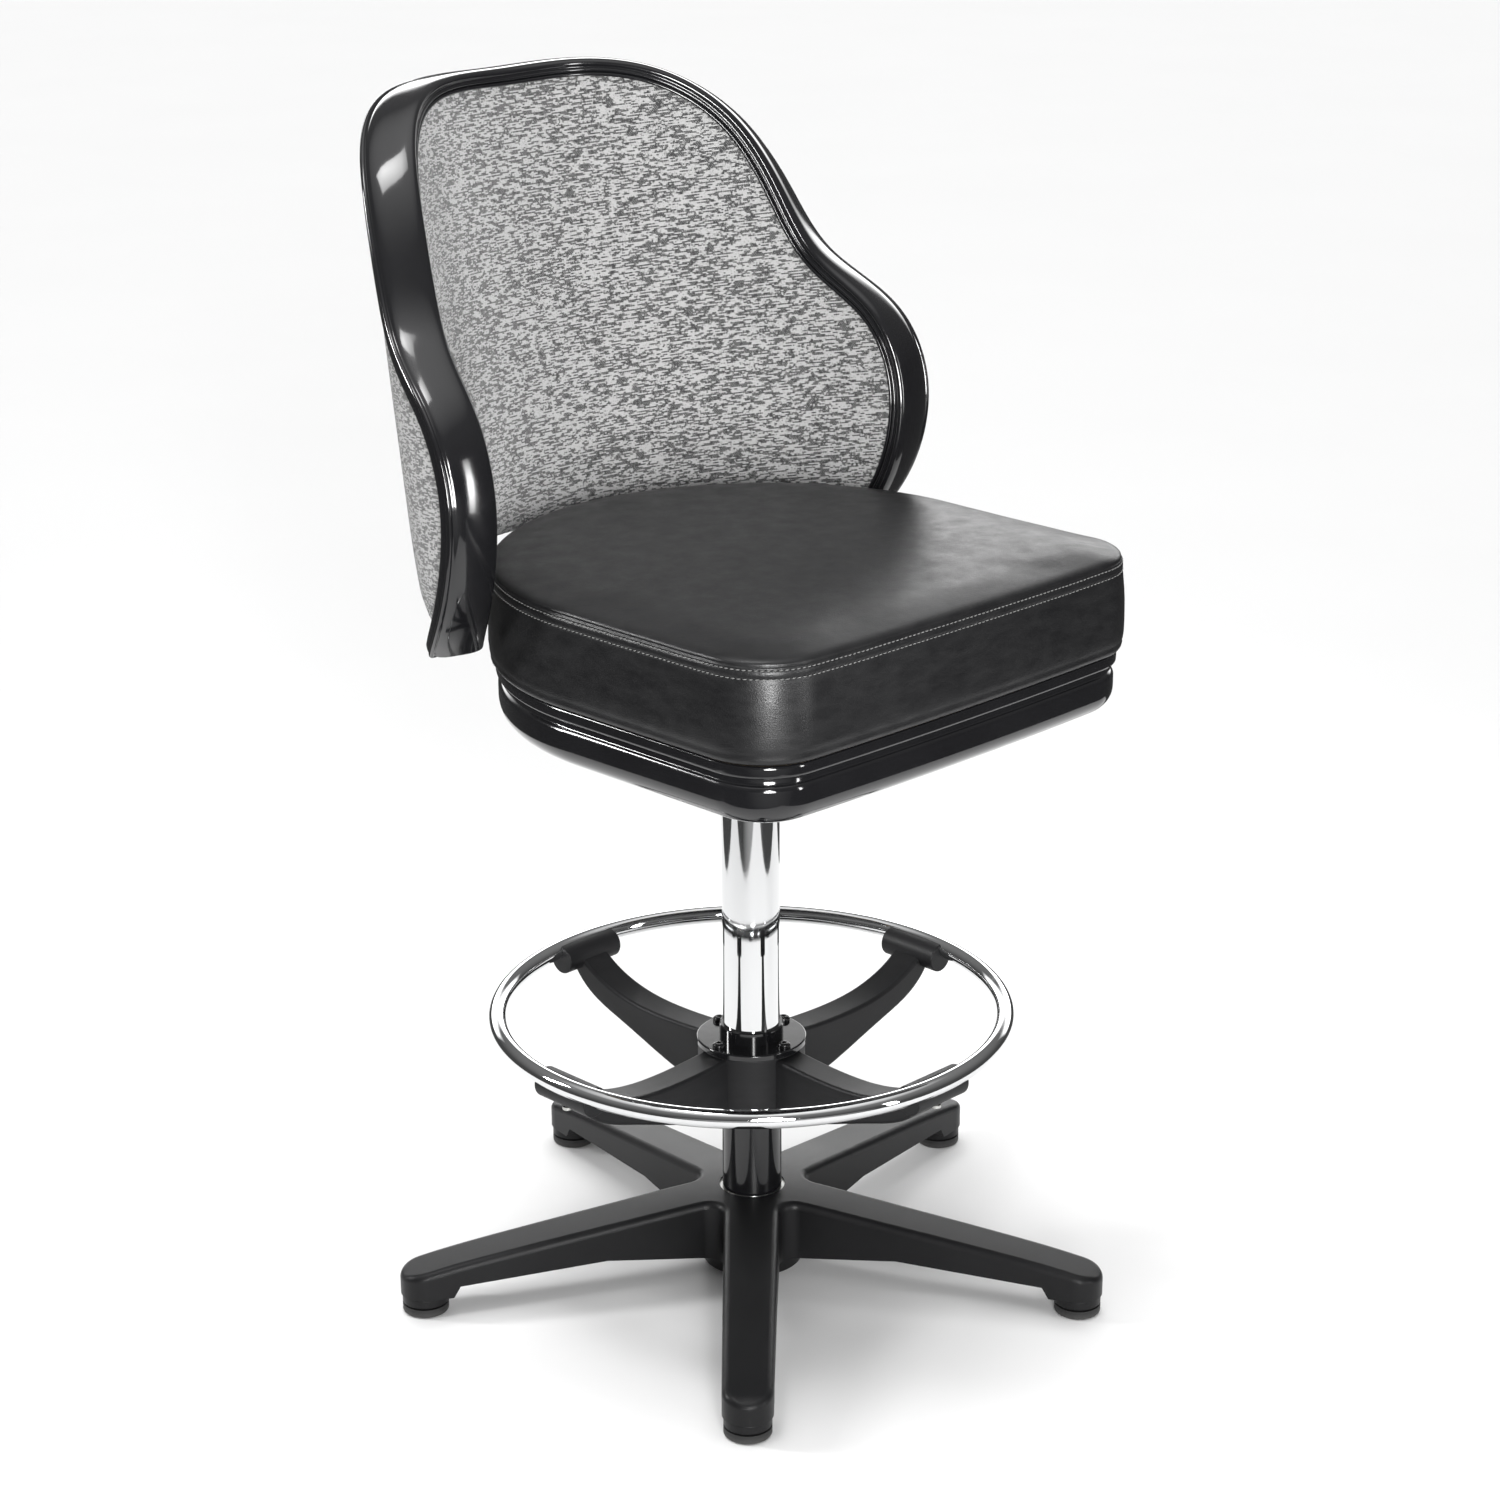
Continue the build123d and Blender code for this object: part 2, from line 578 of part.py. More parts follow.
# ---------------------------------------------------------------------- write
os.makedirs("parts", exist_ok=True)
save("star_base", star_base())
for n, angle in enumerate(leg_angles(), 1):
    at_leg = Rot(0, 0, angle) * Pos(GLIDE_CIRCLE, 0, 0)
    save(f"glide_sole_{n}", (at_leg * glide_sole()).solid())
    save(f"glide_cup_{n}", (at_leg * glide_cup()).solid())
save("glide_stems", [Rot(0, 0, a) * Pos(GLIDE_CIRCLE, 0, 0) * glide_stem() for a in leg_angles()])
save("base_socket", base_socket())
save("base_washer", base_washer())
save("base_bolt", base_bolt())
save("column_tube", column_tube())
save("column_plug", column_plug())
save("post_sleeve", post_sleeve())
save("foot_ring", foot_ring())
save("ring_spider", ring_spider())
save("ring_collar", ring_collar())
save("collar_screws", collar_screws())
save("ring_screws", ring_screws())
save("upper_bush", upper_bush())
save("lower_bush", lower_bush())
save("lower_race", lower_race())
save("upper_race", upper_race())
save("bearing_balls", bearing_balls())
save("bearing_cage", bearing_cage())
save("swivel_spindle", swivel_spindle())
save("spindle_washer", spindle_washer())
save("spindle_clip", spindle_clip())
save("seat_plate", seat_plate())
save("plate_bolts", plate_bolts())
save("support_bolts", support_bolts())
save("board_nuts", board_nuts())
save("seat_board", seat_board())
save("seat_cushion", seat_cushion())
save("seat_pan", seat_pan())
save("pan_screws", pan_screws())
for name, side in (("left", 1), ("right", -1)):
    save(f"back_support_{name}", back_support(side))
    save(f"trim_end_{name}", trim_end(side))
save("back_bolts", back_bolts())
save("core_inserts", core_inserts())
save("back_core", back_core())
save("back_pad", back_pad())
save("rear_panel", rear_panel())
save("back_trim", back_trim())
save("panel_clips", panel_clips())
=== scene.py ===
from math import cos, pi, radians, sin

import bmesh
import bpy
import numpy as np
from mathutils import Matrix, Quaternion, Vector
from mathutils.kdtree import KDTree


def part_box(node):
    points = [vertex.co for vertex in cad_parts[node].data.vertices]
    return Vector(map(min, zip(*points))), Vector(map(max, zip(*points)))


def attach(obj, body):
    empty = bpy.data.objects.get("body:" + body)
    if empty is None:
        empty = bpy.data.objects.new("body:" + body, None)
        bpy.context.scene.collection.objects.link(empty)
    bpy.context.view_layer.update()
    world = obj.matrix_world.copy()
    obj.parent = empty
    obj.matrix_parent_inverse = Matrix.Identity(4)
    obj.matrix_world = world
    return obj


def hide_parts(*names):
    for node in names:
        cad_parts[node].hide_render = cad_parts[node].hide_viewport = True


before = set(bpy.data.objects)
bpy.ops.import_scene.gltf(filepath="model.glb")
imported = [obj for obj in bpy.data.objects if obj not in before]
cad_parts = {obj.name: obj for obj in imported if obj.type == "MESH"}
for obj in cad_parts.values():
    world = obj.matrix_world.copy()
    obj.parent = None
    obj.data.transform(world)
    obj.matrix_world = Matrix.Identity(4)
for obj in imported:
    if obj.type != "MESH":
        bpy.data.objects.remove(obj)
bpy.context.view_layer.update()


# ---- Star base: one black nylon moulding with five hollow legs, satin, with a fine
# moulded grain and a few soft scuffs on the crowns of the legs.
class Field:
    """A socket in a node tree; sums and products on it add Math nodes."""

    def __init__(self, tree, socket=None):
        self.tree, self.socket = tree, socket

    def node(self, kind, settings, sockets, out=0):
        """A new node with its settings, fed by values or by other fields; out is its result."""
        made = self.tree.nodes.new("ShaderNode" + kind)
        for name, value in settings.items():
            setattr(made, name, value)
        for name, value in sockets.items():
            if isinstance(value, Field):
                self.tree.links.new(value.socket, made.inputs[name])
            else:
                made.inputs[name].default_value = value
        return Field(self.tree, made.outputs[out])

    def math(self, operation, *values):
        return self.node("Math", {"operation": operation}, dict(enumerate(values)))

    def __add__(self, other):
        return self.math("ADD", self, other)

    __radd__ = __add__

    def __mul__(self, other):
        return self.math("MULTIPLY", self, other)

    __rmul__ = __mul__

    def __sub__(self, other):
        return self.math("SUBTRACT", self, other)

    def __rsub__(self, other):
        return self.math("SUBTRACT", other, self)

    def __truediv__(self, other):
        return self.math("DIVIDE", self, other)

    def noise(self, scale, detail=3.0, rough=0.55):
        return self.node("TexNoise", {}, {"Vector": self, "Scale": scale, "Detail": detail,
                                          "Roughness": rough}, "Fac")

    def between(self, low, high):
        """0 below low, 1 above high, straight between."""
        return self.node("MapRange", {}, {"Value": self, "From Min": low, "From Max": high})

    def tint(self, dark, light):
        """A colour that goes from dark at 0 to light at 1."""
        return self.node("Mix", {"data_type": "RGBA"},
                         {0: self, 6: (*dark, 1), 7: (*light, 1)}, 2)

    def stretched(self, x, y, z):
        """The place with each axis multiplied; a larger number makes a finer pattern."""
        return self.node("VectorMath", {"operation": "MULTIPLY"}, {0: self, 1: (x, y, z)})

    def parts(self):
        """The x, y and z of a vector."""
        made = self.tree.nodes.new("ShaderNodeSeparateXYZ")
        self.tree.links.new(self.socket, made.inputs[0])
        return [Field(self.tree, out) for out in made.outputs]

    def raised(self, strength, distance):
        """The normal of a surface with this height on it."""
        return self.node("Bump", {}, {"Height": self, "Strength": strength,
                                      "Distance": distance})


def finish(name, **fixed):
    """A new material and the place on the piece; fixed are the shader's constant sockets."""
    material = bpy.data.materials.new(name)
    material.use_nodes = True
    for socket, value in fixed.items():
        shader = material.node_tree.nodes["Principled BSDF"]
        shader.inputs[socket.replace("_", " ")].default_value = value
    place = Field(material.node_tree).node("TexCoord", {}, {}, "Object")
    return material, place


def apply_to(material, **varying):
    """Feeds the shader's sockets that change over the surface."""
    shader = material.node_tree.nodes["Principled BSDF"]
    for socket, value in varying.items():
        material.node_tree.links.new(value.socket, shader.inputs[socket.replace("_", " ")])


def dress(material, *nodes):
    """Puts a material on nodes that keep their own shape."""
    for node in nodes:
        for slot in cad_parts[node].material_slots:
            slot.material = material


nylon, place = finish("satin_black_nylon", Specular_IOR_Level=0.24)
grain = place.noise(1500, 2.0)
cloud = place.noise(14, 4.0)
scuff = place.stretched(30, 30, 12).noise(9, 6.0, 0.7).between(0.62, 0.8)
apply_to(nylon,
         Base_Color=(cloud * 0.6 + scuff * 0.5).tint((0.004, 0.004, 0.0045), (0.012, 0.012, 0.013)),
         Roughness=cloud * 0.10 + grain * 0.10 + scuff * 0.08 + 0.30,
         Normal=grain.raised(0.35, 0.00025))
dress(nylon, "star_base")


# ---- Glides: a moulded cup on a steel stem, and a softer sole that meets the floor.
# The soles are duller and a little dusty at the bottom edge.
rubber, place = finish("glide_sole_rubber")
dust = place.parts()[2].between(0.006, 0.0)
speck = place.noise(900, 3.0)
apply_to(rubber,
         Base_Color=(dust * speck).tint((0.014, 0.014, 0.014), (0.10, 0.098, 0.094)),
         Roughness=speck * 0.15 + 0.55,
         Normal=speck.raised(0.3, 0.0002))
dress(rubber, *[f"glide_sole_{n}" for n in range(1, 6)])
dress(nylon, *[f"glide_cup_{n}" for n in range(1, 6)])

zinc, place = finish("zinc_plated_steel", Metallic=1.0)
spangle = place.noise(260, 4.0, 0.6)
apply_to(zinc,
         Base_Color=spangle.tint((0.44, 0.44, 0.42), (0.66, 0.66, 0.64)),
         Roughness=spangle * 0.22 + 0.24,
         Normal=place.noise(1800, 2.0).raised(0.2, 0.0001))
dress(zinc, "glide_stems", "base_washer", "base_bolt")


# ---- Column: 50 mm steel tube, chromed and polished, in a steel socket in the hub.
# It is turned here with a fine wall and small broken edges so that it mirrors cleanly.
def piece(name, points, faces, crease=38):
    """A mesh object with outward normals, smooth but for its creases."""
    mesh = bpy.data.meshes.new(name)
    mesh.from_pydata([tuple(p) for p in points], [], faces)
    shape = bmesh.new()
    shape.from_mesh(mesh)
    bmesh.ops.recalc_face_normals(shape, faces=shape.faces)
    shape.to_mesh(mesh)
    shape.free()
    mesh.polygons.foreach_set("use_smooth", [True] * len(mesh.polygons))
    mesh.set_sharp_from_angle(angle=radians(crease))
    made = bpy.data.objects.new(name, mesh)
    bpy.context.scene.collection.objects.link(made)
    return made


def skin(rings, around=True, along=False):
    """Points and faces of a surface through rings of equal length."""
    size, last = len(rings[0]), len(rings)
    points = [p for ring in rings for p in ring]
    faces = []
    for j in range(last if along else last - 1):
        for i in range(size if around else size - 1):
            a, b = j * size + i, j * size + (i + 1) % size
            c, d = (j + 1) % last * size + (i + 1) % size, (j + 1) % last * size + i
            faces.append((a, b, c, d))
    return points, faces


def turned(name, section, steps=128, crease=38):
    """A closed section of (radius, height) points turned about the swivel axis."""
    rings = []
    for k in range(steps):
        a = 2 * pi * k / steps
        rings.append([(r * cos(a), r * sin(a), z) for r, z in section])
    return piece(name, *skin(rings, along=True), crease)


def set_out(made, body, material, slot, *nodes):
    """Rides a finished piece on its body, in place of the plain nodes."""
    made.data.materials.append(material)
    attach(made, body)
    if nodes:
        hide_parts(*nodes)


chrome, place = finish("polished_chrome", Metallic=1.0)
smear = place.stretched(1, 1, 0.25).noise(22, 5.0, 0.65)
apply_to(chrome,
         Base_Color=smear.tint((0.71, 0.715, 0.72), (0.77, 0.775, 0.78)),
         Roughness=smear.between(0.45, 0.8) * 0.05 + 0.035,
         Normal=place.noise(60, 2.0).raised(0.05, 0.0002))
low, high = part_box("column_tube")
tube_wall, edge = 0.002, 0.0004
outer, inner = high.x, high.x - tube_wall
column = turned("column_tube_polished", [
    (outer, low.z + edge), (outer, high.z - edge), (outer - edge, high.z),
    (inner + edge, high.z), (inner, high.z - edge), (inner, low.z + edge),
    (inner + edge, low.z), (outer - edge, low.z)], 160)
set_out(column, "stand", chrome, "chrome", "column_tube")
dress(zinc, "base_socket")


# ---- Post sleeve: glossy black tube over the column between the base and the carrier.
# Its ends are rolled in by a fraction of a millimetre.
gloss, place = finish("gloss_black_moulding", Coat_Weight=0.35, Coat_Roughness=0.04)
swirl = place.noise(18, 5.0, 0.6)
apply_to(gloss,
         Base_Color=swirl.tint((0.0035, 0.0035, 0.004), (0.008, 0.008, 0.009)),
         Roughness=swirl.between(0.4, 0.85) * 0.10 + 0.09,
         Normal=place.noise(170, 2.0).raised(0.06, 0.0003))
low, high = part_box("post_sleeve")
outer, inner, edge = high.x, 0.0251, 0.0005
sleeve = turned("post_sleeve_gloss", [
    (outer - edge, low.z), (outer, low.z + edge), (outer, high.z - edge),
    (outer - edge, high.z), (inner, high.z), (inner, low.z)], 128)
set_out(sleeve, "stand", gloss, "gloss_black", "post_sleeve")


# ---- Ring carrier: black nylon hub with four bowed arms and a cradle at each end.
# Duller than the base, with a flow pattern along the arms.
carrier_nylon, place = finish("satin_carrier_nylon", Specular_IOR_Level=0.24)
grain = place.noise(1300, 2.0)
flow = place.stretched(8, 8, 30).noise(6, 5.0, 0.6)
apply_to(carrier_nylon,
         Base_Color=flow.tint((0.005, 0.005, 0.0055), (0.014, 0.014, 0.015)),
         Roughness=flow * 0.14 + grain * 0.08 + 0.36,
         Normal=grain.raised(0.35, 0.00025))
dress(carrier_nylon, "ring_spider")
dress(zinc, "ring_screws")


# ---- Foot ring: bent steel tube, chromed, with its butt weld ground almost flush
# beside one cradle. Shoes have dulled the top of the tube a little.
low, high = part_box("foot_ring")
tube_r = (high.z - low.z) / 2
ring_r, ring_z = high.x - tube_r, (high.z + low.z) / 2
lengths, sides = 288, 36
weld_at, weld_rise, clearance = 12, 0.00012, 0.00002
rings = []
for k in range(lengths):
    a = 2 * pi * k / lengths
    weld = weld_rise * (abs(k - weld_at) < 2)
    ring = []
    for m in range(sides):
        b = 2 * pi * m / sides
        r = ring_r + (tube_r + weld - clearance) * cos(b)
        ring.append((r * cos(a), r * sin(a), ring_z + (tube_r + weld) * sin(b)))
    rings.append(ring)
foot_ring = piece("foot_ring_chromed", *skin(rings, along=True))
ring_chrome, place = finish("worn_ring_chrome", Metallic=1.0)
rub = place.noise(55, 6.0, 0.7)
top_side = place.parts()[2].between(ring_z + 0.002, ring_z + tube_r)
apply_to(ring_chrome,
         Base_Color=rub.tint((0.72, 0.725, 0.73), (0.82, 0.825, 0.83)),
         Roughness=rub.between(0.5, 0.75) * top_side * 0.12 + 0.04,
         Normal=place.stretched(1, 1, 3).noise(700, 2.0).raised(0.03, 0.0001))
set_out(foot_ring, "stand", ring_chrome, "chrome", "foot_ring")


# ---- Collar: glossy black flange with an upstanding collar, on top of the carrier.
# Four button-head screws with hexagon recesses hold it, black and slightly worn.
dress(gloss, "ring_collar")
black_screw, place = finish("blackened_screws", Metallic=0.6)
worn = place.noise(420, 4.0, 0.6).between(0.52, 0.75)
apply_to(black_screw,
         Base_Color=worn.tint((0.012, 0.012, 0.013), (0.09, 0.088, 0.085)),
         Roughness=worn * 0.2 + 0.22,
         Normal=place.noise(1500, 2.0).raised(0.2, 0.0001))
dress(black_screw, "collar_screws", "back_bolts")


# ---- Swivel: ground spindle in acetal bushes, on a ball thrust bearing.
# All of it sits inside the column and the shroud.
ground, place = finish("ground_steel", Metallic=1.0)
turning = place.stretched(1, 1, 40).noise(60, 3.0)
apply_to(ground,
         Base_Color=turning.tint((0.50, 0.50, 0.50), (0.66, 0.66, 0.66)),
         Roughness=turning * 0.15 + 0.16,
         Normal=turning.raised(0.1, 0.0001))
dress(ground, "swivel_spindle", "lower_race", "upper_race", "bearing_balls")
dress(zinc, "spindle_washer", "spindle_clip")
acetal, place = finish("white_acetal", Subsurface_Weight=0.05)
milky = place.noise(90, 3.0)
apply_to(acetal,
         Base_Color=milky.tint((0.70, 0.70, 0.67), (0.82, 0.82, 0.80)),
         Roughness=milky * 0.15 + 0.38,
         Normal=place.noise(900, 2.0).raised(0.15, 0.0001))
dress(acetal, "upper_bush", "lower_bush", "bearing_cage", "column_plug")


# ---- Seat board and plate: birch plywood with a painted steel plate bolted under it.
# The ply shows its layers at the edge and long grain on its faces.
ply, place = finish("birch_plywood")
x, y, z = place.parts()
layer = z.math("SINE", z * (2 * pi / 0.003)).between(-0.4, 0.4)
fibre = place.stretched(3, 60, 20).noise(9, 6.0, 0.65)
apply_to(ply,
         Base_Color=(fibre * 0.7 + layer * 0.3).tint((0.33, 0.21, 0.11), (0.68, 0.52, 0.34)),
         Roughness=fibre * 0.2 + 0.5,
         Normal=fibre.raised(0.25, 0.0004))
dress(ply, "seat_board", "back_core")
painted, place = finish("black_painted_steel")
peel = place.noise(420, 3.0)
apply_to(painted,
         Base_Color=peel.tint((0.010, 0.010, 0.010), (0.022, 0.022, 0.022)),
         Roughness=peel * 0.16 + 0.30,
         Normal=peel.raised(0.25, 0.0003))
dress(painted, "seat_plate", "back_support_left", "back_support_right")
dress(zinc, "plate_bolts", "support_bolts", "board_nuts", "core_inserts")


# ---- Seat shroud: glossy black moulding under the cushion, with a round lower edge,
# a groove and a bead round its rim. Four screws go up through it into the board.
SEAT_HALF, SEAT_FRONT, SEAT_BOW, SEAT_CORNER, SEAT_REAR_Y = 231.0, -250.0, 6.0, 60.0, -18.0


def seat_line(inset):
    """Plan of the seat in metres, drawn in by inset mm, from the middle of the front."""
    half, front, corner = SEAT_HALF - inset, SEAT_FRONT + inset, SEAT_CORNER - inset
    slope = 2 * SEAT_BOW * (half - corner) / half ** 2
    end_x = half - corner * (1 - sin(slope))
    line = [(end_x * k / 40, front + SEAT_BOW * (end_x * k / 40 / half) ** 2) for k in range(40)]
    cx = end_x - corner * sin(slope)
    cy = front + SEAT_BOW * (end_x / half) ** 2 + corner * cos(slope)
    for k in range(24):
        a = -pi / 2 + slope + (pi / 2 - slope) * k / 24
        line.append((cx + corner * cos(a), cy + corner * sin(a)))
    line += [(half, cy + (SEAT_REAR_Y - cy) * k / 50) for k in range(50)]
    for k in range(77):
        a = pi / 2 * k / 76
        line.append((half * cos(a), SEAT_REAR_Y + half * sin(a)))
    line += [(-x, y) for x, y in line[-2:0:-1]]
    return np.array(line) / 1000


AROUND = len(seat_line(0))


def seat_ring(inset, height, shrink=1.0):
    """The plan at a height in mm; shrink draws the whole ring to the seat's middle."""
    plan = seat_line(inset)
    middle = np.array((0, SEAT_REAR_Y / 1000))
    plan = middle + (plan - middle) * shrink
    return np.column_stack((plan, np.full(len(plan), height / 1000)))


def seat_hole(radius, height):
    """A circle about the swivel axis, in mm, with as many points as the plan."""
    plan = seat_line(0)
    length = np.hypot(plan[:, 0], plan[:, 1])
    return np.column_stack((plan / length[:, None] * radius / 1000,
                            np.full(len(plan), height / 1000)))


def arc(cx, cz, radius, start, stop, steps):
    """Points of a circular arc in degrees, as (inset, height)."""
    angles = np.radians(np.linspace(start, stop, steps))
    return [(cx + radius * cos(a), cz + radius * sin(a)) for a in angles]


floor_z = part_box("seat_pan")[0].z * 1000
floor_t, hole_r = 3, 30
outside = (arc(28, floor_z + 20, 20, 270, 180, 14) + [(8, 551)]
           + arc(14, 555.5, 6, 180, 118, 8) + [(11.6, 561.8), (11.6, 566.4)]
           + arc(9.2, 569.9, 3.0, 250, 180, 5) + [(6.1, 572.2), (6.1, 574.6)]
           + arc(8.8, 575.2, 2.7, 180, 90, 5) + [(12.5, 577.9)])
inside = [(14, 577.4), (14, 560), (14, 549)] + arc(31, floor_z + 20, 17, 180, 270, 10)[1:]
rings = [seat_hole(hole_r + 0.6, floor_z + floor_t), seat_hole(hole_r, floor_z + 2.2),
         seat_hole(hole_r, floor_z + 0.8), seat_hole(hole_r + 0.8, floor_z),
         seat_hole(60, floor_z), seat_hole(110, floor_z)]
rings += [seat_ring(28, floor_z, 0.8), seat_ring(28, floor_z, 0.93)]
rings += [seat_ring(d, z) for d, z in outside + inside]
rings += [seat_ring(31, floor_z + floor_t, 0.8), seat_hole(110, floor_z + floor_t)]
shroud = piece("seat_shroud", *skin(rings, along=True), 50)
set_out(shroud, "seat", gloss, "gloss_black", "seat_pan")
dress(black_screw, "pan_screws")


# ---- Seat cushion: foam on the board under a cover of black vinyl. The cover's top panel
# folds over the edge and is sewn down with two rows; its side band tucks under the board.
def noise_wave(rng, count, waves):
    """A closed wavy line of the given number of points, about -1 to 1."""
    turn = np.linspace(0, 2 * pi, count, endpoint=False)
    total = np.zeros(count)
    for n in waves:
        total += rng.uniform(0.5, 1.0) * np.sin(n * turn + rng.uniform(0, 2 * pi))
    return total / len(waves)


def swollen(start, cap, held_below, frames=18):
    """Where the points of a foam block go under its own pressure, by cloth simulation."""
    block = piece("foam_block", *start)
    remesh = block.modifiers.new("even", "REMESH")
    remesh.mode, remesh.voxel_size = "VOXEL", 0.007
    bpy.context.view_layer.objects.active = block
    bpy.ops.object.modifier_apply(modifier="even")
    rest = np.array([v.co for v in block.data.vertices])
    held = block.vertex_groups.new(name="held")
    held.add([i for i, p in enumerate(rest) if p[2] < held_below], 1.0, "REPLACE")
    cloth = block.modifiers.new("cloth", "CLOTH")
    cloth.settings.quality = 6
    cloth.settings.mass = 0.25
    cloth.settings.tension_stiffness = cloth.settings.compression_stiffness = 12
    cloth.settings.bending_stiffness = 0.8
    cloth.settings.use_pressure = True
    cloth.settings.uniform_pressure_force = 4
    cloth.settings.vertex_group_mass = "held"
    cloth.settings.effector_weights.gravity = 0
    for step in range(1, frames + 1):
        bpy.context.scene.frame_set(step)
    bpy.ops.object.modifier_apply(modifier="cloth")
    moved = np.array([v.co for v in block.data.vertices]) - rest
    size = np.linalg.norm(moved, axis=1, keepdims=True)
    moved *= np.minimum(1, cap / np.maximum(size, 1e-9))
    bpy.data.objects.remove(block)
    bpy.context.scene.frame_set(1)
    return rest, moved


def carried(points, rest, moved, near):
    """How far each point goes with the nearest points of the swollen block."""
    tree = KDTree(len(rest))
    for i, p in enumerate(rest):
        tree.insert(p, i)
    tree.balance()
    shift = np.zeros_like(points)
    for i, p in enumerate(points):
        found = tree.find_n(p, near)
        weight = np.array([1 / (d + 0.002) for _, _, d in found])
        shift[i] = (moved[[k for _, k, _ in found]] * weight[:, None]).sum(0) / weight.sum()
    return shift


ROW_Z = 655.0, 648.0
board_z, top_z, top_inset, crown_mm = 594.8, 665.9, 36, 1.6
side = [(9, board_z), (9, 580.2), (8.2, 579.5), (5, 579.5), (3.4, 580.2), (2.2, 582), (1.6, 584.5),
        (1.9, 586.6), (1.1, 589), (0.5, 594), (0.1, 602), (-0.2, 612), (-0.3, 622), (0.0, 632),
        (0.5, 640), (0.8, 644), (1.0, 646.2), (1.3, 647.2), (1.6, 648.0), (1.3, 648.8),
        (1.0, 649.8), (0.9, 651.2), (1.0, 652.6), (1.2, 653.8), (1.5, 654.4), (1.9, 655.0),
        (1.6, 655.6), (1.7, 656.4), (2.2, 657.1), (2.8, 657.6), (2.8, 658.1), (2.7, 658.8),
        (3.0, 659.8), (4.0, 660.9), (5.6, 661.9), (8, 662.7), (12, 663.5), (18, 664.3),
        (26, 665.1), (top_inset, top_z)]
rng = np.random.default_rng(7)
gather, slack, pull = (noise_wave(rng, AROUND, w) for w in (range(23, 61, 3), range(5, 15),
                                                        range(90, 140, 4)))
rings = [seat_ring(60, board_z, 0.5)]
for inset, height in side:
    ring = seat_ring(inset, height)
    outward = seat_ring(inset - 1, height) - ring
    lift = np.clip((height - 580) / 20, 0, 1) * np.clip((650 - height) / 30, 0, 1)
    tuck = np.clip(1 - abs(height - 585) / 9, 0, 1)
    sewn = np.clip(1 - abs(height - 651.5) / 7, 0, 1)
    shift = slack * 1.3 * lift + gather * 1.1 * tuck + pull * 0.35 * sewn
    rings.append(ring + outward * shift[:, None])
for k in range(1, 30):
    shrink = 1 - k / 30
    rings.append(seat_ring(top_inset, top_z + crown_mm * (1 - shrink ** 2), shrink))
points, faces = skin(rings)
count, last_ring = len(points), len(points) - AROUND
faces += [(last_ring + i, last_ring + (i + 1) % AROUND, count) for i in range(AROUND)]
faces += [(i, (i + 1) % AROUND, count + 1) for i in range(AROUND)]
points = np.vstack((points, [(0, SEAT_REAR_Y / 1000, (top_z + crown_mm) / 1000),
                             (0, SEAT_REAR_Y / 1000, board_z / 1000)]))
block = [seat_ring(60, 582, 0.5), seat_ring(9, 582), seat_ring(4, 586), seat_ring(3, 600),
         seat_ring(3, 645), seat_ring(5, 655), seat_ring(12, 659), seat_ring(36, 661)]
block += [seat_ring(36, 661, 1 - k / 8) for k in range(1, 8)]
start_points, start_faces = skin(block)
size = len(start_points)
start_faces += [tuple(range(AROUND - 1, -1, -1)), tuple(range(size - AROUND, size))]
rest, moved = swollen((start_points, start_faces), cap=0.012, held_below=0.589)
taut = 0.18
points += carried(points, rest, moved, 16) * taut
cushion = piece("seat_cushion_cover", points, faces, 60)

vinyl, place = finish("black_vinyl", Specular_IOR_Level=0.38)
streak = place.stretched(1, 1, 2.5).noise(46, 6.0, 0.62)
pore = place.node("TexVoronoi", {}, {"Vector": place, "Scale": 900.0}, "Distance")
fold = place.noise(120, 4.0, 0.6)
crease_band = place.parts()[2].between(0.644, 0.652) * place.parts()[2].between(0.662, 0.656)
pucker = place.noise(230, 3.0, 0.6)
apply_to(vinyl,
         Base_Color=streak.tint((0.0035, 0.0035, 0.004), (0.010, 0.010, 0.0105)),
         Roughness=streak.between(0.3, 0.7) * 0.12 + pore * 0.05 + 0.30,
         Normal=(streak * 0.20 + pore * 0.22 + fold * 0.10
                 + pucker * crease_band * 1.2).raised(0.32, 0.0011))
set_out(cushion, "seat", vinyl, "black_vinyl", "seat_cushion")

# The two rows of thread: short raised stitches laid along the rings sewn into the cover.
stitch_pitch, thread_r, thread_lift, slant = 0.0047, 0.00048, 0.00075, 0.10
girths = 0.35, 0.9, 1.0, 0.9, 0.35
heights = [height for _, height in side]
stitch_points, stitch_faces = [], []
for z in ROW_Z:
    start = (1 + heights.index(z)) * AROUND
    row = points[start:start + AROUND]
    above = points[start + AROUND:start + 2 * AROUND] - points[start - AROUND:start]
    step = np.linalg.norm(np.roll(row, -1, 0) - row, axis=1)
    travel = np.r_[0, np.cumsum(step)]
    stitches = int(travel[-1] / stitch_pitch)
    for s in range(stitches):
        at = travel[-1] * s / stitches
        i = min(int(np.searchsorted(travel, at, "right")) - 1, AROUND - 1)
        share = (at - travel[i]) / step[i]
        ahead = row[(i + 1) % AROUND]
        centre = row[i] * (1 - share) + ahead * share
        forward = (ahead - row[i]) / step[i]
        up = above[i] / np.linalg.norm(above[i])
        out = np.cross(forward, up)
        forward = forward + up * slant
        base = len(stitch_points)
        for k, girth in enumerate(girths):
            along = (k - 2) * 0.00085
            sink = 0.0001 + 0.00055 * abs(k - 2) / 2
            for m in range(6):
                a = 2 * pi * m / 6
                stitch_points.append(centre + forward * along + out * (thread_lift - sink)
                                     + (out * cos(a) + up * sin(a)) * thread_r * girth)
        for k in range(4):
            for m in range(6):
                a, b = base + k * 6 + m, base + k * 6 + (m + 1) % 6
                stitch_faces.append((a, b, b + 6, a + 6))
        stitch_faces += [tuple(base + m for m in range(6)),
                         tuple(base + 24 + m for m in range(6))]
